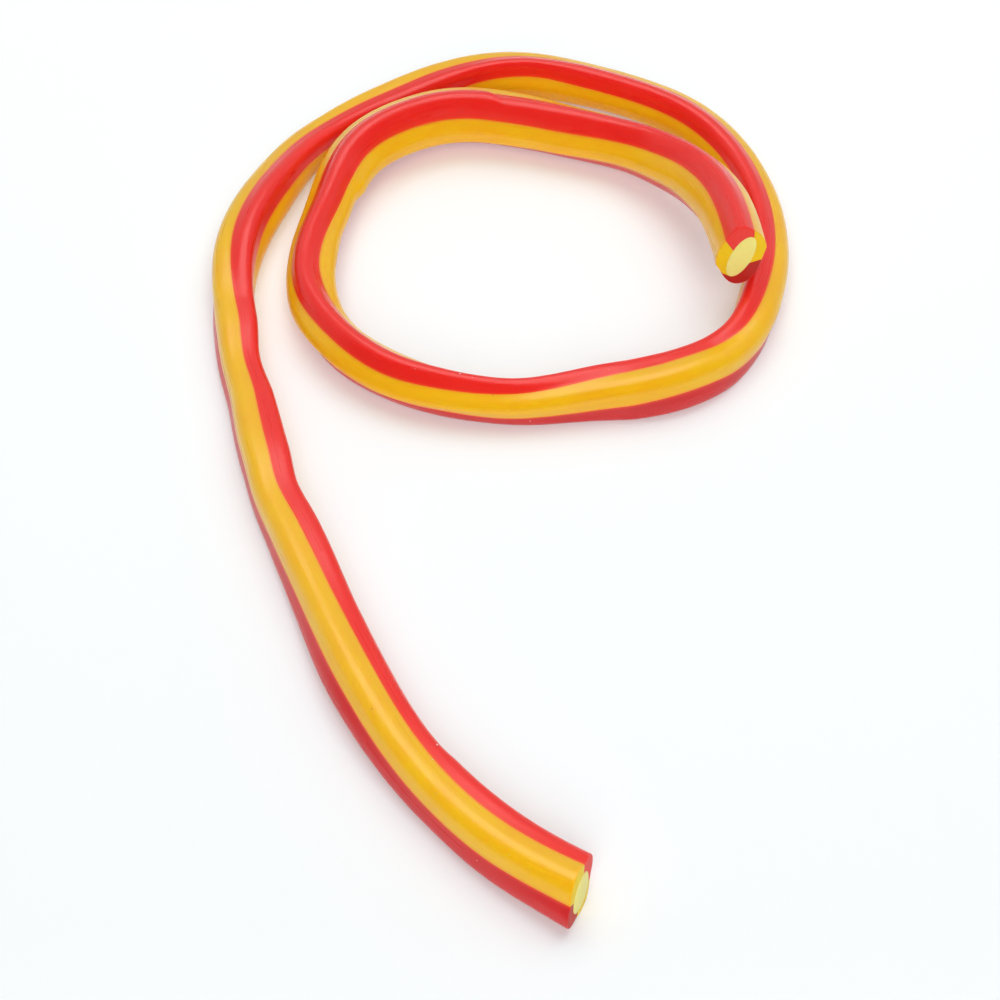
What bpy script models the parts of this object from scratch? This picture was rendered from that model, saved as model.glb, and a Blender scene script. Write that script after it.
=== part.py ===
"""Filled gummy cable, laid in a flat spiral with a tail.

Four lengthwise jelly stripes, yellow and red by turns, lie round a soft filling.
The route, size, roll and lift of the cable are given along its length, and the
same four-lobed section is swept along them. Metres, +Z up. The origin is in the
middle of the bounding box's underside.
"""
import math

import bmesh
import bpy
import numpy as np

MM = 0.001

# Cross-section at size 1, millimetres
HALF_YELLOW = 5.0        # centre to the middle of a yellow stripe, before the lobes
HALF_RED = 5.75          # centre to the middle of a red stripe, before the lobes
LOBE = 0.11              # how far each stripe bulges and each border sinks
CORE_YELLOW = 3.1        # filling, half size across the yellow stripes
CORE_RED = 3.6           # filling, half size across the red stripes
CORE_SHIFT = 0.5         # filling's offset toward the second yellow stripe at the front
CORE_SHIFT_LENGTH = 60.0  # length over which that offset fades out
END_LENGTH = 90.0        # length of the pinched stretch at the inner end
END_PINCH = 0.12         # how far the section is drawn out there along the filling's tilt
END_CORE_YELLOW = 2.1    # filling's half sizes at the inner end
END_CORE_RED = 4.7
END_CORE_RISE = 0.35     # filling's offset toward the second red stripe there
END_CORE_TILT = 38.0     # filling's turn there, its top toward the first yellow stripe, degrees
FRONT_CUT = 13.0         # the front cut's turn seen from above, degrees
FRONT_LEAN = 4.0         # its lean back at the top, degrees
INNER_CUT = 8.0          # the inner cut's lean back at the top, degrees
GAP = 0.33               # free space between neighbouring solids
SINK = 0.28              # depth by which the soft underside is pressed flat

# Faceting
RINGS = 100              # cross-sections along the cable
STRIPE_ARC = 7           # points across the outside of a stripe
SHARP = 50               # edges that turn more than this stay sharp, degrees

# Position of the spiral's bounding box in the route's own axes, millimetres
ORIGIN_X = 0.4
ORIGIN_Y = -1.3

# Centre line seen from above, from the front cut to the inner end, millimetres
ROUTE = (
    (13.8, -117.8), (2.5, -109.5), (-8.0, -99.0), (-17.5, -86.5), (-28.0, -66.5),
    (-37.0, -42.5), (-46.0, -17.0), (-51.5, 4.5), (-56.5, 28.0), (-58.0, 43.5),
    (-56.0, 58.5), (-51.0, 74.0), (-44.0, 89.0), (-34.5, 99.5), (-19.0, 109.5),
    (-7.5, 114.5), (4.5, 116.0), (16.0, 114.0), (33.5, 106.5), (44.0, 98.5),
    (52.5, 86.5), (58.0, 71.5), (59.5, 54.5), (57.0, 38.0), (51.0, 23.0),
    (46.0, 17.0), (36.0, 10.5), (20.0, 7.0), (4.5, 4.5), (-11.5, 6.5),
    (-21.5, 10.5), (-31.5, 18.5), (-39.2, 31.5), (-40.8, 49.0), (-37.6, 66.0),
    (-34.0, 79.0), (-25.5, 90.0), (-14.6, 96.4), (-2.5, 97.5), (9.5, 94.0),
    (26.5, 86.5), (37.5, 77.5), (46.0, 63.0), (50.0, 46.0), (51.0, 35.0),
)

# Size of the section (1 is the size above) at distances along the cable, millimetres
SIZE = (
    (0, 1.04), (25, 0.96), (45, 0.93), (65, 0.96), (85, 0.93), (98, 0.95),
    (106, 0.93), (114, 0.90), (122, 0.95), (132, 0.93), (140, 0.88), (147, 0.82),
    (154, 0.79), (163, 0.86), (174, 0.88), (185, 0.96), (196, 1.04), (205, 1.05),
    (222, 0.95), (236, 0.87), (250, 0.90), (263, 0.98), (277, 1.02), (290, 1.02),
    (305, 0.96), (330, 0.95), (355, 0.86), (375, 0.84), (392, 0.89), (404, 0.90),
    (413, 0.87), (420, 0.93), (428, 0.99), (440, 0.98), (465, 0.81), (477, 0.88),
    (490, 0.97), (500, 0.98), (512, 0.95), (530, 1.01), (545, 1.04), (558, 1.07),
    (575, 1.21), (590, 1.26), (608, 1.26), (624, 1.18), (640, 1.09), (655, 1.11),
    (680, 1.12), (700, 1.10),
)

# Roll of the section: where the middle of the first yellow stripe points, in degrees
# from the right-hand side of the cable, through upward, to its left-hand side
ROLL = (
    (0, 110), (28, 122), (60, 106), (85, 117), (120, 133), (150, 125), (170, 130),
    (190, 153), (205, 156), (225, 147), (240, 138), (254, 134), (268, 140),
    (282, 152), (298, 158), (315, 158), (345, 163), (375, 160), (395, 158), (412, 144),
    (427, 124), (448, 140), (480, 178), (493, 186), (510, 178), (528, 196),
    (545, 187), (563, 177), (580, 166), (592, 162), (610, 161), (625, 164), (640, 170),
    (655, 177), (680, 171), (700, 168),
)

# Height of the underside above the floor, millimetres
LIFT = (
    (0, 0), (550, 0), (575, 1.0), (605, 0.4), (630, 0.6), (645, 2.2), (660, 5.0),
    (675, 8.0), (690, 10.5), (700, 11.8),
)

# Sideways sway off the smooth route, toward the right-hand side, millimetres
SWAY = (
    (0, 0), (102, 0), (114, -0.45), (124, 0), (141, 0), (154, -0.55), (167, 0), (230, 0),
    (252, -0.6), (266, -0.6), (285, 0), (345, 0), (366, 0.4), (396, 0.4), (412, 0),
    (572, 0), (590, 0.4), (608, 0.5), (622, -0.2), (640, -0.8), (655, -0.2), (700, 0),
)

# Extra half width of the first and the second red stripe, taken from the yellow ones, degrees
WIDER_A = ((0, 0), (262, 0), (278, -8), (290, -8), (306, 0), (650, 0), (680, -6), (700, -6))
WIDER_B = (
    (0, 0), (450, 0), (465, 7), (482, 22), (500, 26), (520, 20), (545, 14), (590, 12),
    (608, 16), (635, 20), (700, 20),
)

# Share by which the second yellow stripe is drawn in beside the sharp inner bend
DRAWN_IN = ((0, 0), (533, 0), (547, 0.17), (555, 0.17), (564, 0), (700, 0))

YELLOW_A = 0
RED_B = 90
YELLOW_B = 180
RED_A = 270


def spline(knots, values):
    """Natural cubic spline; returns a function of the knot coordinate."""
    knots = np.asarray(knots, float)
    values = np.asarray(values, float)
    count = len(knots)
    step = np.diff(knots)
    matrix = np.eye(count)
    right = np.zeros(count)
    for i in range(1, count - 1):
        matrix[i, i - 1] = step[i - 1]
        matrix[i, i] = 2 * (step[i - 1] + step[i])
        matrix[i, i + 1] = step[i]
        right[i] = 6 * ((values[i + 1] - values[i]) / step[i]
                        - (values[i] - values[i - 1]) / step[i - 1])
    bend = np.linalg.solve(matrix, right)

    def value(at):
        i = int(np.clip(np.searchsorted(knots, at) - 1, 0, count - 2))
        a = (knots[i + 1] - at) / step[i]
        b = 1 - a
        cubic = (a ** 3 - a) * bend[i] + (b ** 3 - b) * bend[i + 1]
        return a * values[i] + b * values[i + 1] + cubic * step[i] ** 2 / 6

    return value


def eased(rows):
    """Profile that eases from each row of (distance, value) to the next."""
    def value(at):
        for (start, low), (end, high) in zip(rows, rows[1:]):
            if at <= end:
                part = min(max((at - start) / (end - start), 0.0), 1.0)
                return low + (high - low) * part * part * (3 - 2 * part)
        return rows[-1][1]

    return value


def profile(rows):
    """Smooth profile through rows of (distance, value)."""
    return spline([row[0] for row in rows], [row[1] for row in rows])


def route_points(count):
    """Evenly spaced points and directions along the smooth route."""
    knots = [0.0]
    for before, after in zip(ROUTE, ROUTE[1:]):
        knots.append(knots[-1] + math.dist(before, after))
    along_x = spline(knots, [point[0] for point in ROUTE])
    along_y = spline(knots, [point[1] for point in ROUTE])
    fine = np.linspace(0, knots[-1], 4000)
    line = np.array([(along_x(at), along_y(at)) for at in fine])
    travel = np.concatenate([[0], np.cumsum(np.linalg.norm(np.diff(line, axis=0), axis=1))])
    stations = np.linspace(0, travel[-1], count)
    points = []
    for distance in stations:
        at = np.interp(distance, travel, fine)
        point = np.array((along_x(at), along_y(at)))
        ahead = np.array((along_x(at + 0.5), along_y(at + 0.5)))
        behind = np.array((along_x(at - 0.5), along_y(at - 0.5)))
        direction = (ahead - behind) / np.linalg.norm(ahead - behind)
        points.append((distance, point, direction))
    return points


def outline(angle, station):
    """Point of the four-lobed outline at an angle in degrees, size 1."""
    lobe = 1 + LOBE * (1 - 0.5 * station.ending) * math.cos(math.radians(4 * angle))
    wider = station.wider_b if angle % 360 < 180 else station.wider_a
    turn = math.radians(angle - wider * math.sin(math.radians(2 * angle)))
    lobe *= 1 - station.drawn_in * max(0.0, -math.cos(turn)) ** 2
    point = np.array((HALF_YELLOW * lobe * math.cos(turn), HALF_RED * lobe * math.sin(turn)))
    tilt = math.radians(270 + END_CORE_TILT)
    long_way = np.array((math.cos(tilt), math.sin(tilt)))
    pinch = END_PINCH * station.ending
    return point * (1 - pinch) + 2 * pinch * (point @ long_way) * long_way


def core(angle, margin, station):
    """Point of the filling's outline, pushed out by a margin."""
    tilt = math.radians(END_CORE_TILT) * station.ending
    turn = math.radians(angle) - tilt
    half_yellow = CORE_YELLOW + (END_CORE_YELLOW - CORE_YELLOW) * station.ending + margin
    half_red = CORE_RED + (END_CORE_RED - CORE_RED) * station.ending + margin
    x = half_yellow * math.cos(turn)
    y = half_red * math.sin(turn)
    return np.array((x * math.cos(tilt) - y * math.sin(tilt) - station.shift,
                     x * math.sin(tilt) + y * math.cos(tilt)
                     + END_CORE_RISE * station.ending))


def side_step(angle, station):
    """Direction square to a border, toward greater angles."""
    border = outline(angle, station)
    across = np.array((-border[1], border[0]))
    return across / np.linalg.norm(across)


def stripe_section(middle, station):
    """Section of one stripe, counter-clockwise, in millimetres."""
    start = middle - 45
    end = middle + 45
    start_step = side_step(start, station) * 0.5 * GAP
    end_step = side_step(end, station) * 0.5 * GAP
    points = []
    for i in range(STRIPE_ARC):
        angle = start + (end - start) * i / (STRIPE_ARC - 1)
        points.append(outline(angle, station) * station.size)
    points[0] = points[0] + start_step
    points[-1] = points[-1] - end_step
    margin = GAP / station.size
    points.append(core(end, margin, station) * station.size - end_step)
    points.append(core(middle, margin, station) * station.size)
    points.append(core(start, margin, station) * station.size + start_step)
    return points


def filling_section(station):
    """Section of the filling, counter-clockwise, in millimetres."""
    return [core(angle, 0, station) * station.size for angle in range(0, 360, 45)]


class Station:
    """One cross-section's place, size and turn along the cable."""

    def __init__(self, distance, length, shape):
        self.size = shape["size"]
        self.roll = math.radians(shape["roll"])
        self.lift = max(shape["lift"], 0.0)
        self.sway = shape["sway"]
        self.wider_a = shape["wider_a"]
        self.wider_b = shape["wider_b"]
        self.drawn_in = shape["drawn_in"]
        self.shift = CORE_SHIFT * max(0.0, 1 - distance / CORE_SHIFT_LENGTH)
        near_end = min(max(1 - (length - distance) / END_LENGTH, 0.0), 1.0)
        self.ending = near_end * near_end * (3 - 2 * near_end)
        self.skew_across = 0.0
        self.skew_up = 0.0

    def turned(self, point):
        """Section point turned by the roll; first across to the right, then up."""
        across = point[0] * math.cos(self.roll) - point[1] * math.sin(self.roll)
        up = point[0] * math.sin(self.roll) + point[1] * math.cos(self.roll)
        return across, up

    def place(self, point, direction):
        """Sets the centre so that the underside lies at its lift above the floor."""
        ring = [self.turned(outline(angle, self) * self.size) for angle in range(0, 360, 3)]
        lowest = min(up for across, up in ring)
        self.travel = np.array((direction[0], direction[1], 0.0))
        self.right = np.array((direction[1], -direction[0], 0.0))
        up = self.lift - lowest - SINK
        middle = np.array((point[0] - ORIGIN_X, point[1] - ORIGIN_Y, up))
        self.centre = middle + self.right * self.sway

    def spot(self, point):
        """Place of a section point in space, pressed flat on the floor."""
        across, up = self.turned(point)
        along = self.skew_across * across + self.skew_up * up
        spot = self.centre + self.right * across + self.travel * along
        spot[2] = max(spot[2] + up, 0.0)
        return spot


def cable_stations():
    """All cross-sections, from the front cut to the inner cut."""
    shapes = {"size": profile(SIZE), "roll": profile(ROLL), "lift": profile(LIFT),
              "sway": eased(SWAY), "wider_a": eased(WIDER_A), "wider_b": eased(WIDER_B),
              "drawn_in": eased(DRAWN_IN)}
    places = route_points(RINGS)
    length = places[-1][0]
    stations = []
    for distance, point, direction in places:
        shape = {name: value(distance) for name, value in shapes.items()}
        station = Station(distance, length, shape)
        station.place(point, direction)
        stations.append(station)
    stations[0].skew_across = math.tan(math.radians(FRONT_CUT))
    stations[0].skew_up = math.tan(math.radians(FRONT_LEAN))
    stations[-1].skew_up = -math.tan(math.radians(INNER_CUT))
    return stations


def sweep(name, stations, section):
    """Closed solid through one section ring at each station."""
    mesh = bmesh.new()
    rings = []
    for station in stations:
        ring = []
        for point in section(station):
            ring.append(mesh.verts.new([value * MM for value in station.spot(point)]))
        rings.append(ring)
    for near, far in zip(rings, rings[1:]):
        for i in range(len(near)):
            j = (i + 1) % len(near)
            mesh.faces.new((near[i], near[j], far[j], far[i]))
    mesh.faces.new(list(reversed(rings[0])))
    mesh.faces.new(rings[-1])
    bmesh.ops.triangulate(mesh, faces=mesh.faces[:])
    bmesh.ops.recalc_face_normals(mesh, faces=mesh.faces[:])
    data = bpy.data.meshes.new(name)
    mesh.to_mesh(data)
    mesh.free()
    data.shade_smooth()
    data.set_sharp_from_angle(angle=math.radians(SHARP))
    piece = bpy.data.objects.new(name, data)
    bpy.context.collection.objects.link(piece)
    return piece


def stripe(name, stations, middle, material):
    """One jelly stripe along the whole cable."""
    piece = sweep(name, stations, lambda station: stripe_section(middle, station))
    piece.data.materials.append(material)
    return piece


def filling(name, stations, material):
    """Soft filling along the whole cable."""
    piece = sweep(name, stations, filling_section)
    piece.data.materials.append(material)
    return piece


def jelly(name, colour, roughness):
    """Glossy, slightly see-through jelly."""
    material = bpy.data.materials.new(name)
    material.use_nodes = True
    shader = material.node_tree.nodes["Principled BSDF"]
    shader.inputs["Base Color"].default_value = (*colour, 1)
    shader.inputs["Roughness"].default_value = roughness
    shader.inputs["Metallic"].default_value = 0
    return material


def main():
    for item in list(bpy.data.objects):
        bpy.data.objects.remove(item, do_unlink=True)
    yellow = jelly("yellow_jelly", (0.90, 0.52, 0.03), 0.35)
    red = jelly("red_jelly", (0.72, 0.04, 0.05), 0.35)
    soft = jelly("soft_filling", (0.95, 0.86, 0.30), 0.60)
    stations = cable_stations()
    filling("filling", stations, soft)
    stripe("yellow_stripe_a", stations, YELLOW_A, yellow)
    stripe("red_stripe_a", stations, RED_A, red)
    stripe("yellow_stripe_b", stations, YELLOW_B, yellow)
    stripe("red_stripe_b", stations, RED_B, red)


main()
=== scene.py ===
"""Filled gummy cable in a flat spiral with a tail, ready to render.

Four fused jelly stripes, yellow and red by turns, run round a pale soft filling.
Each operator makes one kind of piece; the sidebar panel lists their sizes and colours.
Lengths in the tables are millimetres, everything in the scene is metres.
"""
import math
import random

import bmesh
import bpy
from mathutils import Matrix, Vector, noise
import numpy as np


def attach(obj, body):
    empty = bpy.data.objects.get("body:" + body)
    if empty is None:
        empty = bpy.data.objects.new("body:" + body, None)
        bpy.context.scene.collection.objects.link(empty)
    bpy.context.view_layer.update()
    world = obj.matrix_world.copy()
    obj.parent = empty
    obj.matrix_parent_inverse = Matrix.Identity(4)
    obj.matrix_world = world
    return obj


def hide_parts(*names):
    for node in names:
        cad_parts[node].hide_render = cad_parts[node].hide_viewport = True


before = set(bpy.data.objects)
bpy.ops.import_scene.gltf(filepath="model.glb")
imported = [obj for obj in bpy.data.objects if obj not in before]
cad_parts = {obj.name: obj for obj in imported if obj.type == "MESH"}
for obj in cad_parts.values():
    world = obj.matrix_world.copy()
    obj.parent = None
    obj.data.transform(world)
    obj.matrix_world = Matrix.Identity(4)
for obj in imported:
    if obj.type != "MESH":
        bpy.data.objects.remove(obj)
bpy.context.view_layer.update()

bl_info = {
    "name": "Gummy cable",
    "version": (1, 0, 0),
    "blender": (4, 5, 0),
    "location": "View3D > Sidebar > Gummy cable",
    "description": "Models a striped, filled gummy cable laid in a spiral",
    "category": "Object",
}

MM = 0.001

# Cross-section at size 1, millimetres
HALF_YELLOW = 5.0        # centre to the middle of a yellow stripe, before the lobes
HALF_RED = 5.75          # centre to the middle of a red stripe, before the lobes
LOBE = 0.11              # how far each stripe bulges and each border sinks
CORE_YELLOW = 3.1        # filling, half size across the yellow stripes
CORE_RED = 3.6           # filling, half size across the red stripes
CORE_SHIFT = 0.5         # filling's offset toward the second yellow stripe at the front
CORE_SHIFT_LENGTH = 60.0  # length over which that offset fades out
END_LENGTH = 90.0        # length of the pinched stretch at the inner end
END_PINCH = 0.12         # how far the section is drawn out there along the filling's tilt
END_CORE_YELLOW = 2.1    # filling's half sizes at the inner end
END_CORE_RED = 4.7
END_CORE_RISE = 0.35     # filling's offset toward the second red stripe there
END_CORE_TILT = 38.0     # filling's turn there, its top toward the first yellow stripe
FRONT_CUT = 13.0         # the front cut's turn seen from above, degrees
FRONT_LEAN = 4.0         # its lean back at the top, degrees
INNER_CUT = 8.0          # the inner cut's lean back at the top, degrees
CUT_FADE = 6.0           # length over which the lean of a cut fades out
SINK = 0.28              # depth by which the soft underside is pressed flat
SEAM = 0.012             # hair's breadth between fused stripes

# Position of the spiral's bounding box in the route's own axes, millimetres
ORIGIN_X = 0.4
ORIGIN_Y = -1.3

# Centre line seen from above, from the front cut to the inner end, millimetres
ROUTE = (
    (13.8, -117.8), (2.5, -109.5), (-8.0, -99.0), (-17.5, -86.5), (-28.0, -66.5),
    (-37.0, -42.5), (-46.0, -17.0), (-51.5, 4.5), (-56.5, 28.0), (-58.0, 43.5),
    (-56.0, 58.5), (-51.0, 74.0), (-44.0, 89.0), (-34.5, 99.5), (-19.0, 109.5),
    (-7.5, 114.5), (4.5, 116.0), (16.0, 114.0), (33.5, 106.5), (44.0, 98.5),
    (52.5, 86.5), (58.0, 71.5), (59.5, 54.5), (57.0, 38.0), (51.0, 23.0),
    (46.0, 17.0), (36.0, 10.5), (20.0, 7.0), (4.5, 4.5), (-11.5, 6.5),
    (-21.5, 10.5), (-31.5, 18.5), (-39.2, 31.5), (-40.8, 49.0), (-37.6, 66.0),
    (-34.0, 79.0), (-25.5, 90.0), (-14.6, 96.4), (-2.5, 97.5), (9.5, 94.0),
    (26.5, 86.5), (37.5, 77.5), (46.0, 63.0), (50.0, 46.0), (51.0, 35.0),
)

# Size of the section (1 is the size above) at distances along the cable, millimetres
SIZE = (
    (0, 1.04), (25, 0.96), (45, 0.93), (65, 0.96), (85, 0.93), (98, 0.95),
    (106, 0.93), (114, 0.90), (122, 0.95), (132, 0.93), (140, 0.88), (147, 0.82),
    (154, 0.79), (163, 0.86), (174, 0.88), (185, 0.96), (196, 1.04), (205, 1.05),
    (222, 0.95), (236, 0.87), (250, 0.90), (263, 0.98), (277, 1.02), (290, 1.02),
    (305, 0.96), (330, 0.95), (355, 0.86), (375, 0.84), (392, 0.89), (404, 0.90),
    (413, 0.87), (420, 0.93), (428, 0.99), (440, 0.98), (465, 0.81), (477, 0.88),
    (490, 0.97), (500, 0.98), (512, 0.95), (530, 1.01), (545, 1.04), (558, 1.07),
    (575, 1.21), (590, 1.26), (608, 1.26), (624, 1.18), (640, 1.09), (655, 1.11),
    (680, 1.12), (700, 1.10),
)

# Roll of the section: where the middle of the first yellow stripe points, in degrees
# from the right-hand side of the cable, through upward, to its left-hand side
ROLL = (
    (0, 110), (28, 122), (60, 106), (85, 117), (120, 133), (150, 125), (170, 130),
    (190, 153), (205, 156), (225, 147), (240, 138), (254, 134), (268, 140),
    (282, 152), (298, 158), (315, 158), (345, 163), (375, 160), (395, 158), (412, 144),
    (427, 124), (448, 140), (480, 178), (493, 186), (510, 178), (528, 196),
    (545, 187), (563, 177), (580, 166), (592, 162), (610, 161), (625, 164), (640, 170),
    (655, 177), (680, 171), (700, 168),
)

# Height of the underside above the floor, millimetres
LIFT = (
    (0, 0), (550, 0), (575, 1.0), (605, 0.4), (630, 0.6), (645, 2.2), (660, 5.0),
    (675, 8.0), (690, 10.5), (700, 11.8),
)

# Sideways sway off the smooth route, toward the right-hand side, millimetres
SWAY = (
    (0, 0), (102, 0), (114, -0.45), (124, 0), (141, 0), (154, -0.55), (167, 0), (230, 0),
    (252, -0.6), (266, -0.6), (285, 0), (345, 0), (366, 0.4), (396, 0.4), (412, 0),
    (572, 0), (590, 0.4), (608, 0.5), (622, -0.2), (640, -0.8), (655, -0.2), (700, 0),
)

# Extra half width of the first and the second red stripe, taken from the yellow ones, degrees
WIDER_A = ((0, 0), (262, 0), (278, -8), (290, -8), (306, 0), (650, 0), (680, -6), (700, -6))
WIDER_B = (
    (0, 0), (450, 0), (465, 7), (482, 22), (500, 26), (520, 20), (545, 14), (590, 12),
    (608, 16), (635, 20), (700, 20),
)

# Share by which the second yellow stripe is drawn in beside the sharp inner bend
DRAWN_IN = ((0, 0), (533, 0), (547, 0.17), (556.5, 0.19), (561, 0), (700, 0))

# Folds and small bulges of the skin: where each starts, the lengths over which it comes and
# goes, its middle angle and reach in degrees, its slant in millimetres a degree, its depth
FOLDS = (
    (606.5, 2.2, 20, 290, 52, -0.09, 0.8), (579, 3, 6, 140, 16, 0.0, -0.3),
    (34, 6, 24, 262, 32, 0.0, 0.35), (118, 5, 9, 20, 40, 0.1, 0.18),
    (432, 4, 8, 300, 35, -0.1, 0.2), (643, 3, 10, 255, 30, 0.1, 0.22),
)

# Crumbs seen on the jelly: distance along the cable, angle round it, size in millimetres
PALE_SPECKS = (
    (617, 158, 0.36), (627, 158, 0.38), (477, 268, 0.34), (480, 36, 0.34), (463, 58, 0.30),
    (139, 38, 0.36), (40, 286, 0.36), (37, 318, 0.30), (18, 60, 0.26), (31, 2, 0.16),
    (22, -6, 0.16), (13, 8, 0.16), (474, 276, 0.18), (470, 262, 0.16), (486, 281, 0.16),
)
DARK_SPECKS = ((52, 4, 0.30), (470, 317, 0.28), (505, 300, 0.14), (88, 12, 0.12))
DUST = 46                # tiny crumbs scattered over the whole cable
USUAL_SPECK = 0.30       # size for which the sizes in the two tables above are given
DUST_SIZE = (0.06, 0.13)  # smallest and largest of the tiny crumbs

# Stretch whose red skin is finely wrinkled, in metres along the cable; the yellow's lies
# before the front cut, so the yellow has none
WRINKLED = (0.448, 0.492)
UNWRINKLED = (-0.5, -0.4)
WRINKLE_FADE = 0.012     # metres over which the wrinkles come and go

YELLOW_A = 0
RED_B = 90
YELLOW_B = 180
RED_A = 270

# Points across one stripe's section
ARC_POINTS = 19
WALL_POINTS = 3
INNER_POINTS = 9
CORE_POINTS = 32

# Colours beside the stripes' own: a painted glow at the borders, where light shining through from
# the next stripe is painted in, and the colours on the cuts
YELLOW_PAINTED_GLOW = (1.0, 0.34, 0.030)
YELLOW_CUT = (1.0, 0.62, 0.004)
RED_PAINTED_GLOW = (1.0, 0.10, 0.015)
RED_CUT = (0.88, 0.05, 0.04)
# The second red stripe lies underneath all along; its darker red is partly a darker dye and partly
# painted shade of the underside
CRIMSON_PAINTED_GLOW = (0.92, 0.07, 0.03)
CRIMSON_CUT = (0.55, 0.014, 0.010)
CRIMSON_DEEP = 0.9       # brightness of the crimson where it lies thick
PALE_SPECK_COLOURS = ((0.95, 0.90, 0.84), (0.90, 0.80, 0.70))
DARK_SPECK_COLOURS = ((0.16, 0.07, 0.03), (0.30, 0.13, 0.05))

# How far red, green and blue light spreads in each jelly, and the jelly's roughness
YELLOW_SPREAD = (0.55, 0.55, 0.10)
RED_SPREAD = (0.50, 0.20, 0.15)
JELLY_ROUGHNESS = 0.28

# Floor: its two tones, and its glow: painted light, growing from the front of the cable to the back
FLOOR_TONES = ((0.79, 0.80, 0.805), (0.80, 0.81, 0.815))
FLOOR_GLOW = (0.88, 1.0, 1.0, 1)
GLOW_FRONT = (-0.12, 0.11)  # place along Y in metres, strength
GLOW_BACK = (0.17, 0.28)

# Lights: place and side length in metres; each is aimed at the middle of the cable
BOX_PLACE = (-0.05, 0.45, 1.30)
BOX_SIZE = 1.18
TOP_PLACE = (0.15, 0.30, 1.25)
TOP_SIZE = 1.4
FILL_PLACE = (0.0, -1.0, 0.75)
FILL_SIZE = 0.8
LIGHT_TARGET = (0, 0.02, 0)
FILL_TARGET = (0, 0.0, 0)

# Camera: this pitch makes the coil about as deep as it is wide
CAMERA_PLACE = (-0.0004, -0.3557, 0.3497)
CAMERA_PITCH = 46.0
CAMERA_LENS = 86.9


class GummyCableSettings(bpy.types.PropertyGroup):
    """Sizes and colours of the gummy cable."""

    ring_step: bpy.props.FloatProperty(
        name="Ring step", description="Distance between cross-sections along the cable",
        default=0.0009, min=0.0004, max=0.01, precision=4, unit="LENGTH", subtype="DISTANCE")
    lump_height: bpy.props.FloatProperty(
        name="Lump height", description="Height of the soft unevenness of the jelly",
        default=0.00012, min=0.0, max=0.001, precision=5, unit="LENGTH", subtype="DISTANCE")
    rim_round: bpy.props.FloatProperty(
        name="Rim rounding", description="Rounding of the cut's outer edge",
        default=0.00022, min=0.00005, max=0.001, precision=5, unit="LENGTH", subtype="DISTANCE")
    yellow: bpy.props.FloatVectorProperty(
        name="Yellow jelly", description="Colour of the yellow stripes",
        default=(0.98, 0.54, 0.006), size=3, min=0.0, max=1.0, subtype="COLOR")
    yellow_deep: bpy.props.FloatVectorProperty(
        name="Deep yellow", description="Colour of the yellow jelly where it lies thick",
        default=(0.97, 0.47, 0.005), size=3, min=0.0, max=1.0, subtype="COLOR")
    red: bpy.props.FloatVectorProperty(
        name="Red jelly", description="Colour of the red stripes",
        default=(0.89, 0.025, 0.017), size=3, min=0.0, max=1.0, subtype="COLOR")
    red_deep: bpy.props.FloatVectorProperty(
        name="Deep red", description="Colour of the red jelly where it lies thick",
        default=(0.86, 0.017, 0.011), size=3, min=0.0, max=1.0, subtype="COLOR")
    # Darker red of the stripe underneath: partly a darker dye, partly painted shade of the underside
    crimson_and_shade: bpy.props.FloatVectorProperty(
        name="Crimson jelly", description="Colour of the second, darker red stripe",
        default=(0.70, 0.022, 0.024), size=3, min=0.0, max=1.0, subtype="COLOR")
    soft: bpy.props.FloatVectorProperty(
        name="Filling", description="Colour of the soft filling",
        default=(1.0, 0.80, 0.24), size=3, min=0.0, max=1.0, subtype="COLOR")
    speck_size: bpy.props.FloatProperty(
        name="Speck size", description="Usual size of the crumbs on the jelly",
        default=0.00030, min=0.00005, max=0.002, precision=5, unit="LENGTH", subtype="DISTANCE")
    light_power: bpy.props.FloatProperty(
        name="Sheen light", description="Power of the soft box that shows in the sheen only",
        default=9.2, min=0.0, max=200.0, unit="POWER")
    top_power: bpy.props.FloatProperty(
        name="Top light", description="Power of the large light overhead", default=9.0,
        min=0.0, max=200.0, unit="POWER")
    fill_power: bpy.props.FloatProperty(
        name="Fill", description="Power of the light that softens the shadows", default=9.5,
        min=0.0, max=200.0, unit="POWER")


def spline(knots, values):
    """Natural cubic spline; returns a function of the knot coordinate."""
    knots = np.asarray(knots, float)
    values = np.asarray(values, float)
    count = len(knots)
    step = np.diff(knots)
    matrix = np.eye(count)
    right = np.zeros(count)
    for i in range(1, count - 1):
        matrix[i, i - 1] = step[i - 1]
        matrix[i, i] = 2 * (step[i - 1] + step[i])
        matrix[i, i + 1] = step[i]
        right[i] = 6 * ((values[i + 1] - values[i]) / step[i]
                        - (values[i] - values[i - 1]) / step[i - 1])
    bend = np.linalg.solve(matrix, right)

    def value(at):
        i = int(np.clip(np.searchsorted(knots, at) - 1, 0, count - 2))
        a = (knots[i + 1] - at) / step[i]
        b = 1 - a
        cubic = (a ** 3 - a) * bend[i] + (b ** 3 - b) * bend[i + 1]
        return a * values[i] + b * values[i + 1] + cubic * step[i] ** 2 / 6

    return value


def eased(rows):
    """Profile that eases from each row of (distance, value) to the next."""
    def value(at):
        for (start, low), (end, high) in zip(rows, rows[1:]):
            if at <= end:
                part = min(max((at - start) / (end - start), 0.0), 1.0)
                return low + (high - low) * part * part * (3 - 2 * part)
        return rows[-1][1]

    return value


def profile(rows):
    """Smooth profile through rows of (distance, value)."""
    return spline([row[0] for row in rows], [row[1] for row in rows])


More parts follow.
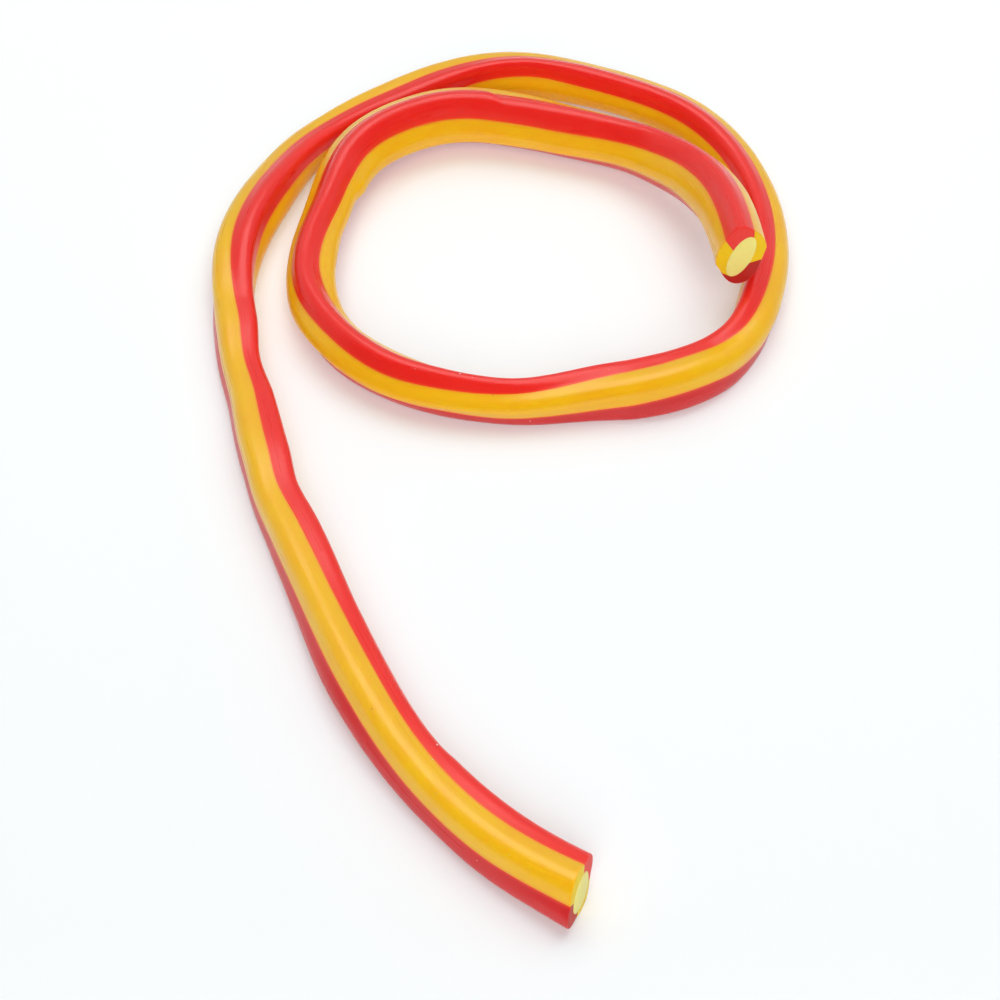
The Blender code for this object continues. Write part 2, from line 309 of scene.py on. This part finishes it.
def route_points(step):
    """Evenly spaced points and directions along the smooth route."""
    knots = [0.0]
    for before, after in zip(ROUTE, ROUTE[1:]):
        knots.append(knots[-1] + math.dist(before, after))
    along_x = spline(knots, [point[0] for point in ROUTE])
    along_y = spline(knots, [point[1] for point in ROUTE])
    fine = np.linspace(0, knots[-1], 4000)
    line = np.array([(along_x(at), along_y(at)) for at in fine])
    travel = np.concatenate([[0], np.cumsum(np.linalg.norm(np.diff(line, axis=0), axis=1))])
    count = int(round(travel[-1] / step)) + 1
    points = []
    for distance in np.linspace(0, travel[-1], count):
        at = np.interp(distance, travel, fine)
        point = np.array((along_x(at), along_y(at)))
        ahead = np.array((along_x(at + 0.5), along_y(at + 0.5)))
        behind = np.array((along_x(at - 0.5), along_y(at - 0.5)))
        direction = (ahead - behind) / np.linalg.norm(ahead - behind)
        points.append((distance, point, direction))
    return points


def outline(angle, station):
    """Point of the four-lobed outline at an angle in degrees, size 1."""
    lobe = 1 + LOBE * (1 - 0.5 * station.ending) * math.cos(math.radians(4 * angle))
    wider = station.wider_b if angle % 360 < 180 else station.wider_a
    turn = math.radians(angle - wider * math.sin(math.radians(2 * angle)))
    lobe *= 1 - station.drawn_in * max(0.0, -math.cos(turn)) ** 2
    point = np.array((HALF_YELLOW * lobe * math.cos(turn), HALF_RED * lobe * math.sin(turn)))
    tilt = math.radians(270 + END_CORE_TILT)
    long_way = np.array((math.cos(tilt), math.sin(tilt)))
    pinch = END_PINCH * station.ending
    return point * (1 - pinch) + 2 * pinch * (point @ long_way) * long_way


def core(angle, margin, station):
    """Point of the filling's outline, pushed out by a margin."""
    tilt = math.radians(END_CORE_TILT) * station.ending
    turn = math.radians(angle) - tilt
    half_yellow = CORE_YELLOW + (END_CORE_YELLOW - CORE_YELLOW) * station.ending + margin
    half_red = CORE_RED + (END_CORE_RED - CORE_RED) * station.ending + margin
    x = half_yellow * math.cos(turn)
    y = half_red * math.sin(turn)
    return np.array((x * math.cos(tilt) - y * math.sin(tilt) - station.shift,
                     x * math.sin(tilt) + y * math.cos(tilt)
                     + END_CORE_RISE * station.ending))


def side_step(angle, station):
    """Direction square to a border, toward greater angles."""
    border = outline(angle, station)
    across = np.array((-border[1], border[0]))
    return across / np.linalg.norm(across)


class Station:
    """One cross-section's place, size and turn along the cable."""

    def __init__(self, distance, length, shape):
        self.distance = distance
        self.size = shape["size"]
        self.roll = math.radians(shape["roll"])
        self.lift = max(shape["lift"], 0.0)
        self.sway = shape["sway"]
        self.wider_a = shape["wider_a"]
        self.wider_b = shape["wider_b"]
        self.drawn_in = shape["drawn_in"]
        self.shift = CORE_SHIFT * max(0.0, 1 - distance / CORE_SHIFT_LENGTH)
        near_end = min(max(1 - (length - distance) / END_LENGTH, 0.0), 1.0)
        self.ending = near_end * near_end * (3 - 2 * near_end)
        front = max(1 - distance / CUT_FADE, 0.0)
        back = max(1 - (length - distance) / CUT_FADE, 0.0)
        self.skew_across = front * math.tan(math.radians(FRONT_CUT))
        self.skew_up = (front * math.tan(math.radians(FRONT_LEAN))
                        - back * math.tan(math.radians(INNER_CUT)))

    def turned(self, point):
        """Section point turned by the roll; first across to the right, then up."""
        across = point[0] * math.cos(self.roll) - point[1] * math.sin(self.roll)
        up = point[0] * math.sin(self.roll) + point[1] * math.cos(self.roll)
        return across, up

    def place(self, point, direction):
        """Sets the centre so that the underside lies at its lift above the floor."""
        ring = [self.turned(outline(angle, self) * self.size) for angle in range(0, 360, 5)]
        lowest = min(up for across, up in ring)
        self.travel = np.array((direction[0], direction[1], 0.0))
        self.right = np.array((direction[1], -direction[0], 0.0))
        up = self.lift - lowest - SINK
        middle = np.array((point[0] - ORIGIN_X, point[1] - ORIGIN_Y, up))
        self.centre = middle + self.right * self.sway

    def spot(self, point):
        """Place of a section point in space, in metres, pressed flat on the floor."""
        across, up = self.turned(point)
        along = self.skew_across * across + self.skew_up * up
        spot = self.centre + self.right * across + self.travel * along
        spot[2] = max(spot[2] + up, 0.0)
        return Vector(spot) * MM


def cable_stations(step):
    """All cross-sections, from the front cut to the inner cut."""
    shapes = {"size": profile(SIZE), "roll": profile(ROLL), "lift": profile(LIFT),
              "sway": eased(SWAY), "wider_a": eased(WIDER_A), "wider_b": eased(WIDER_B),
              "drawn_in": eased(DRAWN_IN)}
    places = route_points(step)
    length = places[-1][0]
    stations = []
    for distance, point, direction in places:
        shape = {name: value(distance) for name, value in shapes.items()}
        station = Station(distance, length, shape)
        station.place(point, direction)
        stations.append(station)
    return stations


def lumps(spot, height):
    """Soft unevenness of the jelly at a place, in millimetres."""
    broad = noise.noise(spot * 70)
    small = noise.noise(spot * 260 + Vector((3.0, 7.0, 1.0)))
    return (broad + 0.15 * small) * height / MM


def fold(angle, station):
    """Depth of the folds at an angle of a section, in millimetres."""
    depth = 0.0
    for start, comes, goes, middle, reach, slant, deep in FOLDS:
        offset = (angle - middle + 180) % 360 - 180
        along = station.distance - start - slant * offset
        if abs(offset) < reach and 0 < along < comes + goes:
            part = along / comes if along < comes else 1 - (along - comes) / goes
            depth += deep * part * part * (3 - 2 * part) * (1 - (offset / reach) ** 2) ** 2
    return depth


def skin_point(angle, station, height):
    """Section point of the uneven, folded skin."""
    point = outline(angle, station) * station.size
    out = point / np.linalg.norm(point)
    return point + out * (lumps(station.spot(point), height) - fold(angle, station))


def stripe_ring(middle, station, height):
    """One stripe's section as (point, across, kind), counter-clockwise.

    Across runs from -1 to 1 between the stripe's borders. Kind is 0 on the outside
    and 1 on the hidden walls.
    """
    start = middle - 45
    end = middle + 45
    start_step = side_step(start, station) * 0.5 * SEAM
    end_step = side_step(end, station) * 0.5 * SEAM
    ring = []
    for i in range(ARC_POINTS):
        part = i / (ARC_POINTS - 1)
        point = skin_point(start + (end - start) * part, station, height)
        ring.append([point, 2 * part - 1, 0.0])
    ring[0][0] = ring[0][0] + start_step
    ring[-1][0] = ring[-1][0] - end_step
    margin = SEAM / station.size
    inner = []
    for i in range(INNER_POINTS):
        part = i / (INNER_POINTS - 1)
        point = core(end + (start - end) * part, margin, station) * station.size
        inner.append([point, 1 - 2 * part, 1.0])
    inner[0][0] = inner[0][0] - end_step
    inner[-1][0] = inner[-1][0] + start_step
    ring += between(ring[-1], inner[0])
    ring += inner
    ring += between(inner[-1], ring[0])
    return ring


def between(near, far):
    """Points on a straight wall between two section points."""
    wall = []
    for i in range(1, WALL_POINTS):
        part = i / WALL_POINTS
        wall.append([near[0] * (1 - part) + far[0] * part, near[1], 1.0])
    return wall


def core_ring(station):
    """The filling's section as (point, across, kind), counter-clockwise."""
    ring = []
    for i in range(CORE_POINTS):
        angle = 360 * i / CORE_POINTS
        ring.append([core(angle, 0, station) * station.size, 2 * i / CORE_POINTS - 1, 1.0])
    return ring


def swept(name, stations, section):
    """Closed solid: a flat grid rolled up so that each of its rows is one section."""
    mesh = bmesh.new()
    across = mesh.verts.layers.float.new("across")
    along = mesh.verts.layers.float.new("along")
    hidden = mesh.verts.layers.float.new("hidden")
    mesh.verts.layers.float.new("cut")
    rings = [section(station) for station in stations]
    columns = len(rings[0])
    rows = len(rings) - 1
    bmesh.ops.create_grid(mesh, x_segments=columns, y_segments=rows, size=0.5)
    for vert in mesh.verts:
        i = int(round((vert.co.x + 0.5) * columns)) % columns
        j = int(round((vert.co.y + 0.5) * rows))
        point, side, kind = rings[j][i]
        vert.co = stations[j].spot(point)
        vert[across] = side
        vert[along] = stations[j].distance * MM
        vert[hidden] = kind
    bmesh.ops.remove_doubles(mesh, verts=mesh.verts[:], dist=0.0000001)
    bmesh.ops.holes_fill(mesh, edges=[edge for edge in mesh.edges if edge.is_boundary], sides=0)
    bmesh.ops.recalc_face_normals(mesh, faces=mesh.faces[:])
    return mesh


def cut_faces(mesh):
    """Faces of the two cuts, the only ones with many corners."""
    return [face for face in mesh.faces if len(face.verts) > 8]


def round_rims(mesh, width):
    """Rounds the outer edge of both cuts."""
    hidden = mesh.verts.layers.float["hidden"]
    rims = []
    for face in cut_faces(mesh):
        for edge in face.edges:
            if all(vert[hidden] < 0.5 for vert in edge.verts):
                rims.append(edge)
    bmesh.ops.bevel(mesh, geom=rims, offset=width, offset_type="OFFSET", affect="EDGES",
                    segments=3, profile=0.5, material=-1, clamp_overlap=True)


def mark_cuts(mesh):
    """Notes which points lie on the two cuts."""
    cut = mesh.verts.layers.float["cut"]
    for face in cut_faces(mesh):
        for vert in face.verts:
            vert[cut] = 1.0


def swell_cuts(mesh, height):
    """Lets the soft filling stand a little proud of the cut."""
    for cap in cut_faces(mesh):
        normal = cap.normal.copy()
        faces = [cap]
        for part in (0.16, 0.22, 0.30):
            bmesh.ops.inset_region(mesh, faces=faces, thickness=0.0012 * part,
                                   depth=height * (1 - part * 2), use_even_offset=True)
        bmesh.ops.translate(mesh, verts=cap.verts[:], vec=normal * height * 0.1)


def finished(mesh, name, material, nodes):
    """Object from a finished mesh, riding on the cable's body."""
    data = bpy.data.meshes.new(name)
    mesh.to_mesh(data)
    mesh.free()
    data.shade_smooth()
    data.set_sharp_from_angle(angle=math.radians(50))
    data.materials.append(material)
    piece = bpy.data.objects.new(name, data)
    bpy.context.collection.objects.link(piece)
    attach(piece, "root")
    if nodes:
        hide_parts(*nodes)
    return piece


def add(tree, kind, **settings):
    """New node with the given settings."""
    made = tree.nodes.new(kind)
    for key, value in settings.items():
        setattr(made, key, value)
    return made


def skin_group():
    """Node group: the jelly's fine skin, shared by every jelly and the filling."""
    name = "Jelly skin"
    if name in bpy.data.node_groups:
        return bpy.data.node_groups[name]
    tree = bpy.data.node_groups.new(name, "ShaderNodeTree")
    face = tree.interface
    face.new_socket("Place", in_out="INPUT", socket_type="NodeSocketVector")
    face.new_socket("Across", in_out="INPUT", socket_type="NodeSocketFloat")
    face.new_socket("Along", in_out="INPUT", socket_type="NodeSocketFloat")
    grain = face.new_socket("Grain size", in_out="INPUT", socket_type="NodeSocketFloat")
    grain.default_value = 0.0009
    streak = face.new_socket("Streak share", in_out="INPUT", socket_type="NodeSocketFloat")
    streak.default_value = 0.4
    face.new_socket("Height", in_out="OUTPUT", socket_type="NodeSocketFloat")
    face.new_socket("Cloud", in_out="OUTPUT", socket_type="NodeSocketFloat")
    face.new_socket("Streaks", in_out="OUTPUT", socket_type="NodeSocketFloat")
    enter = add(tree, "NodeGroupInput")
    leave = add(tree, "NodeGroupOutput")
    link = tree.links.new
    # Low cloudiness over centimetres
    cloud = add(tree, "ShaderNodeTexNoise", noise_dimensions="3D")
    cloud.inputs["Scale"].default_value = 110
    cloud.inputs["Detail"].default_value = 3
    link(enter.outputs["Place"], cloud.inputs["Vector"])
    # Fine skin
    one_over = add(tree, "ShaderNodeMath", operation="DIVIDE")
    one_over.inputs[0].default_value = 1.0
    link(enter.outputs["Grain size"], one_over.inputs[1])
    fine = add(tree, "ShaderNodeTexNoise", noise_dimensions="3D")
    fine.inputs["Detail"].default_value = 4
    fine.inputs["Roughness"].default_value = 0.6
    link(enter.outputs["Place"], fine.inputs["Vector"])
    link(one_over.outputs[0], fine.inputs["Scale"])
    # Streaks drawn out along the cable
    lay = add(tree, "ShaderNodeCombineXYZ")
    drawn = add(tree, "ShaderNodeMath", operation="MULTIPLY")
    drawn.inputs[1].default_value = 25
    spread = add(tree, "ShaderNodeMath", operation="MULTIPLY")
    spread.inputs[1].default_value = 4
    link(enter.outputs["Along"], drawn.inputs[0])
    link(enter.outputs["Across"], spread.inputs[0])
    link(drawn.outputs[0], lay.inputs["Y"])
    link(spread.outputs[0], lay.inputs["X"])
    streaks = add(tree, "ShaderNodeTexNoise", noise_dimensions="3D")
    streaks.inputs["Scale"].default_value = 1
    streaks.inputs["Detail"].default_value = 1
    link(lay.outputs[0], streaks.inputs["Vector"])
    mixed = add(tree, "ShaderNodeMix", data_type="FLOAT")
    link(enter.outputs["Streak share"], mixed.inputs["Factor"])
    link(fine.outputs["Fac"], mixed.inputs["A"])
    link(streaks.outputs["Fac"], mixed.inputs["B"])
    link(mixed.outputs["Result"], leave.inputs["Height"])
    link(cloud.outputs["Fac"], leave.inputs["Cloud"])
    link(streaks.outputs["Fac"], leave.inputs["Streaks"])
    return tree


def attribute(tree, name):
    """Node that reads one of the mesh's own values."""
    return add(tree, "ShaderNodeAttribute", attribute_name=name, attribute_type="GEOMETRY")


def ranged(tree, value, low, high, to_low, to_high):
    """Value mapped from one range to another."""
    node = add(tree, "ShaderNodeMapRange", clamp=True)
    node.inputs["From Min"].default_value = low
    node.inputs["From Max"].default_value = high
    node.inputs["To Min"].default_value = to_low
    node.inputs["To Max"].default_value = to_high
    tree.links.new(value, node.inputs["Value"])
    return node.outputs["Result"]


def blended(tree, factor, first, second):
    """Colour between two colours or sockets."""
    node = add(tree, "ShaderNodeMix", data_type="RGBA")
    tree.links.new(factor, node.inputs["Factor"])
    for key, value in (("A", first), ("B", second)):
        socket = [item for item in node.inputs if item.name == key and item.type == "RGBA"][0]
        if isinstance(value, bpy.types.NodeSocket):
            tree.links.new(value, socket)
        else:
            socket.default_value = (*value, 1)
    return [item for item in node.outputs if item.type == "RGBA"][0]


def wrinkles(tree, place, along, start, end):
    """Height of fine wrinkles that show on one stretch of the cable only."""
    crinkle = add(tree, "ShaderNodeTexNoise", noise_dimensions="3D")
    crinkle.inputs["Scale"].default_value = 700
    crinkle.inputs["Detail"].default_value = 3
    crinkle.inputs["Distortion"].default_value = 0.8
    tree.links.new(place, crinkle.inputs["Vector"])
    height = crinkle.outputs["Fac"]
    for low, high, first, last in ((start - WRINKLE_FADE, start, 0, 1),
                                   (end, end + WRINKLE_FADE, 1, 0)):
        product = add(tree, "ShaderNodeMath", operation="MULTIPLY")
        tree.links.new(height, product.inputs[0])
        tree.links.new(ranged(tree, along, low, high, first, last), product.inputs[1])
        height = product.outputs[0]
    return height


def jelly_material(name, colour, deep, glow, cut_colour, light_spread, wrinkled):
    """Cloudy, finely streaked jelly, its borders tinted with a painted glow of light shining through
    from the next stripe.
    """
    material = bpy.data.materials.new(name)
    material.use_nodes = True
    tree = material.node_tree
    link = tree.links.new
    shader = tree.nodes["Principled BSDF"]
    place = add(tree, "ShaderNodeTexCoord")
    across = attribute(tree, "across")
    along = attribute(tree, "along")
    skin = add(tree, "ShaderNodeGroup", node_tree=skin_group())
    link(place.outputs["Object"], skin.inputs["Place"])
    link(across.outputs["Fac"], skin.inputs["Across"])
    link(along.outputs["Fac"], skin.inputs["Along"])
    skin.inputs["Grain size"].default_value = 0.0009
    skin.inputs["Streak share"].default_value = 0.02
    cloudy = blended(tree, ranged(tree, skin.outputs["Cloud"], 0.3, 0.7, 0, 0.7), colour, deep)
    # Painted glow: near each border the colour turns toward the glow colour, painted light from the
    # next stripe
    edge = add(tree, "ShaderNodeMath", operation="ABSOLUTE")
    link(across.outputs["Fac"], edge.inputs[0])
    tinted = blended(tree, ranged(tree, edge.outputs[0], 0.84, 1.0, 0, 0.75), cloudy, glow)
    cut = attribute(tree, "cut")
    link(blended(tree, cut.outputs["Fac"], tinted, cut_colour), shader.inputs["Base Color"])
    satin = ranged(tree, skin.outputs["Streaks"], 0.3, 0.7,
                   JELLY_ROUGHNESS - 0.01, JELLY_ROUGHNESS + 0.01)
    rougher = add(tree, "ShaderNodeMath", operation="MULTIPLY_ADD")
    rougher.inputs[1].default_value = 0.3
    link(cut.outputs["Fac"], rougher.inputs[0])
    link(satin, rougher.inputs[2])
    link(rougher.outputs[0], shader.inputs["Roughness"])
    bump = add(tree, "ShaderNodeBump")
    bump.inputs["Strength"].default_value = 0.12
    bump.inputs["Distance"].default_value = 0.00015
    height = add(tree, "ShaderNodeMath", operation="MULTIPLY_ADD")
    height.inputs[1].default_value = 3.0
    link(wrinkles(tree, place.outputs["Object"], along.outputs["Fac"], *wrinkled),
         height.inputs[0])
    link(skin.outputs["Height"], height.inputs[2])
    link(height.outputs[0], bump.inputs["Height"])
    link(bump.outputs["Normal"], shader.inputs["Normal"])
    shader.inputs["Metallic"].default_value = 0
    shader.inputs["IOR"].default_value = 1.5
    shader.inputs["Subsurface Weight"].default_value = 1.0
    shader.inputs["Subsurface Radius"].default_value = light_spread
    shader.inputs["Subsurface Scale"].default_value = 0.0002
    return material


def filling_material(colour):
    """Soft pale filling: dense, moist and finely pored."""
    material = bpy.data.materials.new("soft_filling")
    material.use_nodes = True
    tree = material.node_tree
    link = tree.links.new
    shader = tree.nodes["Principled BSDF"]
    place = add(tree, "ShaderNodeTexCoord")
    skin = add(tree, "ShaderNodeGroup", node_tree=skin_group())
    link(place.outputs["Object"], skin.inputs["Place"])
    skin.inputs["Grain size"].default_value = 0.0006
    skin.inputs["Streak share"].default_value = 0.0
    pale = tuple(min(1.0, value * 1.03 + 0.03) for value in colour)
    link(blended(tree, ranged(tree, skin.outputs["Cloud"], 0.35, 0.65, 0, 1), colour, pale),
         shader.inputs["Base Color"])
    link(ranged(tree, skin.outputs["Height"], 0.3, 0.7, 0.45, 0.62), shader.inputs["Roughness"])
    bump = add(tree, "ShaderNodeBump")
    bump.inputs["Strength"].default_value = 0.35
    bump.inputs["Distance"].default_value = 0.0002
    link(skin.outputs["Height"], bump.inputs["Height"])
    link(bump.outputs["Normal"], shader.inputs["Normal"])
    shader.inputs["Metallic"].default_value = 0
    shader.inputs["Subsurface Weight"].default_value = 1.0
    shader.inputs["Subsurface Radius"].default_value = (0.7, 0.8, 0.4)
    shader.inputs["Subsurface Scale"].default_value = 0.0002
    return material


class GUMMY_OT_filling(bpy.types.Operator):
    """Models the soft filling along the whole cable."""

    bl_idname = "gummy.filling"
    bl_label = "Filling"

    def execute(self, context):
        look = context.scene.gummy_cable
        stations = cable_stations(look.ring_step * 3 / MM)
        mesh = swept("filling", stations, core_ring)
        swell_cuts(mesh, 0.00015)
        finished(mesh, "filling_soft", filling_material(look.soft), ["filling"])
        return {"FINISHED"}


class GUMMY_OT_stripes(bpy.types.Operator):
    """Models the four fused jelly stripes."""

    bl_idname = "gummy.stripes"
    bl_label = "Jelly stripes"

    def execute(self, context):
        look = context.scene.gummy_cable
        stations = cable_stations(look.ring_step / MM)
        yellow = jelly_material("yellow_jelly", look.yellow, look.yellow_deep,
                                YELLOW_PAINTED_GLOW, YELLOW_CUT, YELLOW_SPREAD, UNWRINKLED)
        red = jelly_material("red_jelly", look.red, look.red_deep,
                             RED_PAINTED_GLOW, RED_CUT, RED_SPREAD, WRINKLED)
        # The stripe underneath gets a darker red: partly a darker dye, partly painted shade of the
        # underside
        crimson_and_shade = jelly_material("crimson_jelly", look.crimson_and_shade,
                                 tuple(value * CRIMSON_DEEP for value in look.crimson_and_shade),
                                 CRIMSON_PAINTED_GLOW, CRIMSON_CUT, RED_SPREAD, WRINKLED)
        for name, middle, material, slot in (
                ("yellow_stripe_a", YELLOW_A, yellow, "yellow_jelly"),
                ("red_stripe_a", RED_A, red, "red_jelly"),
                ("yellow_stripe_b", YELLOW_B, yellow, "yellow_jelly"),
                ("red_stripe_b", RED_B, crimson_and_shade, "red_jelly")):
            mesh = swept(name, stations,
                         lambda station: stripe_ring(middle, station, look.lump_height))
            round_rims(mesh, look.rim_round)
            mark_cuts(mesh)
            finished(mesh, name + "_jelly", material, [name])
        return {"FINISHED"}


def speck_material(name, colour, other):
    """Dull crumb, its colour uneven."""
    material = bpy.data.materials.new(name)
    material.use_nodes = True
    tree = material.node_tree
    shader = tree.nodes["Principled BSDF"]
    place = add(tree, "ShaderNodeTexCoord")
    grain = add(tree, "ShaderNodeTexNoise", noise_dimensions="3D")
    grain.inputs["Scale"].default_value = 4000
    grain.inputs["Detail"].default_value = 2
    tree.links.new(place.outputs["Object"], grain.inputs["Vector"])
    tree.links.new(blended(tree, grain.outputs["Fac"], colour, other),
                   shader.inputs["Base Color"])
    tree.links.new(ranged(tree, grain.outputs["Fac"], 0.3, 0.7, 0.5, 0.8),
                   shader.inputs["Roughness"])
    shader.inputs["Metallic"].default_value = 0
    return material


def crumbs(places, stations, height, chance):
    """Uneven little blobs half sunk in the skin, as one mesh."""
    mesh = bmesh.new()
    for distance, angle, size in places:
        station = min(stations, key=lambda item: abs(item.distance - distance))
        spot = station.spot(skin_point(angle, station, height))
        turn = Matrix.Rotation(chance.uniform(0, math.tau), 4, Vector((0.3, 0.5, 0.8)))
        squash = Matrix.Diagonal((chance.uniform(0.35, 0.5), chance.uniform(0.35, 0.5),
                                  chance.uniform(0.25, 0.4), 1)) * size * MM
        squash[3][3] = 1
        made = bmesh.ops.create_icosphere(mesh, subdivisions=2, radius=1,
                                          matrix=Matrix.Translation(spot) @ turn @ squash)
        for vert in made["verts"]:
            vert.co = spot + (vert.co - spot) * chance.uniform(0.82, 1.12)
    return mesh


class GUMMY_OT_specks(bpy.types.Operator):
    """Models the crumbs that cling to the jelly."""

    bl_idname = "gummy.specks"
    bl_label = "Specks"

    def execute(self, context):
        look = context.scene.gummy_cable
        chance = random.Random(7)
        stations = cable_stations(look.ring_step / MM)
        scale = look.speck_size / MM / USUAL_SPECK
        pale = [(distance, angle, size * scale) for distance, angle, size in PALE_SPECKS]
        dark = [(distance, angle, size * scale) for distance, angle, size in DARK_SPECKS]
        for i in range(DUST):
            place = (chance.uniform(4, 686), chance.uniform(-60, 300))
            pale.append((*place, chance.uniform(*DUST_SIZE) * scale))
        mesh = crumbs(pale, stations, look.lump_height, chance)
        finished(mesh, "pale_specks", speck_material("pale_speck", *PALE_SPECK_COLOURS), [])
        mesh = crumbs(dark, stations, look.lump_height, chance)
        finished(mesh, "dark_specks", speck_material("dark_speck", *DARK_SPECK_COLOURS), [])
        return {"FINISHED"}


def soft_light(name, place, target, size, power, colour):
    """Large square light aimed at a point."""
    data = bpy.data.lights.new(name, "AREA")
    data.shape = "SQUARE"
    data.size = size
    data.energy = power
    data.color = colour
    lamp = bpy.data.objects.new(name, data)
    lamp.location = place
    lamp.rotation_euler = (Vector(target) - Vector(place)).to_track_quat("-Z", "Y").to_euler()
    bpy.context.collection.objects.link(lamp)
    return lamp


def floor_material():
    """Pale studio floor with the faintest mottling and a faint glow of its own: painted light,
    brighter toward the back.
    """
    material = bpy.data.materials.new("pale_floor")
    material.use_nodes = True
    tree = material.node_tree
    shader = tree.nodes["Principled BSDF"]
    place = add(tree, "ShaderNodeTexCoord")
    mottle = add(tree, "ShaderNodeTexNoise", noise_dimensions="3D")
    mottle.inputs["Scale"].default_value = 9
    mottle.inputs["Detail"].default_value = 4
    tree.links.new(place.outputs["Object"], mottle.inputs["Vector"])
    tree.links.new(blended(tree, mottle.outputs["Fac"], *FLOOR_TONES),
                   shader.inputs["Base Color"])
    parts = add(tree, "ShaderNodeSeparateXYZ")
    tree.links.new(place.outputs["Object"], parts.inputs[0])
    # Painted light: the floor glows, more toward the back, in place of the studio light's fall-off,
    # and lightens the shadows
    tree.links.new(ranged(tree, parts.outputs["Y"], GLOW_FRONT[0], GLOW_BACK[0],
                          GLOW_FRONT[1], GLOW_BACK[1]), shader.inputs["Emission Strength"])
    shader.inputs["Emission Color"].default_value = FLOOR_GLOW
    shader.inputs["Roughness"].default_value = 0.6
    shader.inputs["Specular IOR Level"].default_value = 0.2
    return material


def soft_room():
    """Surroundings: pale all round, darker toward the viewer."""
    world = bpy.data.worlds.new("soft_room")
    world.use_nodes = True
    tree = world.node_tree
    sky = tree.nodes["Background"]
    sky.inputs["Color"].default_value = (0.97, 0.985, 1.0, 1)
    way = add(tree, "ShaderNodeTexCoord")
    parts = add(tree, "ShaderNodeSeparateXYZ")
    tree.links.new(way.outputs["Generated"], parts.inputs[0])
    tree.links.new(ranged(tree, parts.outputs["Y"], -0.05, 0.30, 0.12, 0.60), sky.inputs["Strength"])
    return world


class GUMMY_OT_stage(bpy.types.Operator):
    """Sets the pale floor, the soft light and the camera."""

    bl_idname = "gummy.stage"
    bl_label = "Stage"

    def execute(self, context):
        look = context.scene.gummy_cable
        mesh = bmesh.new()
        bmesh.ops.create_grid(mesh, x_segments=4, y_segments=4, size=2.0)
        bmesh.ops.translate(mesh, verts=mesh.verts[:], vec=(0, 0, -0.00005))
        data = bpy.data.meshes.new("pale_floor")
        mesh.to_mesh(data)
        mesh.free()
        data.materials.append(floor_material())
        floor = bpy.data.objects.new("pale_floor", data)
        context.collection.objects.link(floor)
        context.scene.world = soft_room()
        # The box shows in the sheen only; the light overhead and the fill light the rest
        box = soft_light("soft_box", BOX_PLACE, LIGHT_TARGET, BOX_SIZE, look.light_power,
                         (1.0, 0.99, 0.98))
        box.visible_diffuse = False
        top = soft_light("top_light", TOP_PLACE, LIGHT_TARGET, TOP_SIZE, look.top_power,
                         (1.0, 1.0, 1.0))
        top.visible_glossy = False
        fill = soft_light("fill", FILL_PLACE, FILL_TARGET, FILL_SIZE, look.fill_power,
                          (0.98, 0.99, 1.0))
        fill.visible_glossy = False
        camera_data = bpy.data.cameras.new("camera")
        camera_data.sensor_width = 36
        camera_data.lens = CAMERA_LENS
        camera_data.clip_start = 0.01
        camera = bpy.data.objects.new("camera", camera_data)
        camera.location = CAMERA_PLACE
        camera.rotation_euler = (math.radians(90 - CAMERA_PITCH), 0, 0)
        context.collection.objects.link(camera)
        context.scene.camera = camera
        context.scene.view_settings.view_transform = "Standard"
        context.scene.view_settings.look = "None"
        return {"FINISHED"}


class GUMMY_PT_panel(bpy.types.Panel):
    """Lists the cable's sizes, colours and pieces."""

    bl_idname = "GUMMY_PT_panel"
    bl_label = "Gummy cable"
    bl_space_type = "VIEW_3D"
    bl_region_type = "UI"
    bl_category = "Gummy cable"

    def draw(self, context):
        look = context.scene.gummy_cable
        for field in ("ring_step", "lump_height", "rim_round", "yellow", "yellow_deep", "red",
                      "red_deep", "crimson_and_shade", "soft", "speck_size", "light_power", "top_power",
                      "fill_power"):
            self.layout.prop(look, field)
        for operator in (GUMMY_OT_filling, GUMMY_OT_stripes, GUMMY_OT_specks, GUMMY_OT_stage):
            self.layout.operator(operator.bl_idname)


CLASSES = (GummyCableSettings, GUMMY_OT_filling, GUMMY_OT_stripes, GUMMY_OT_specks,
           GUMMY_OT_stage, GUMMY_PT_panel)


def register():
    """Adds the settings, operators and panel."""
    for item in CLASSES:
        bpy.utils.register_class(item)
    bpy.types.Scene.gummy_cable = bpy.props.PointerProperty(type=GummyCableSettings)


def unregister():
    """Removes them again."""
    del bpy.types.Scene.gummy_cable
    for item in reversed(CLASSES):
        bpy.utils.unregister_class(item)


def main():
    """Makes every piece and the stage."""
    register()
    bpy.ops.gummy.filling()
    bpy.ops.gummy.stripes()
    bpy.ops.gummy.specks()
    bpy.ops.gummy.stage()


if __name__ == "__main__":
    main()
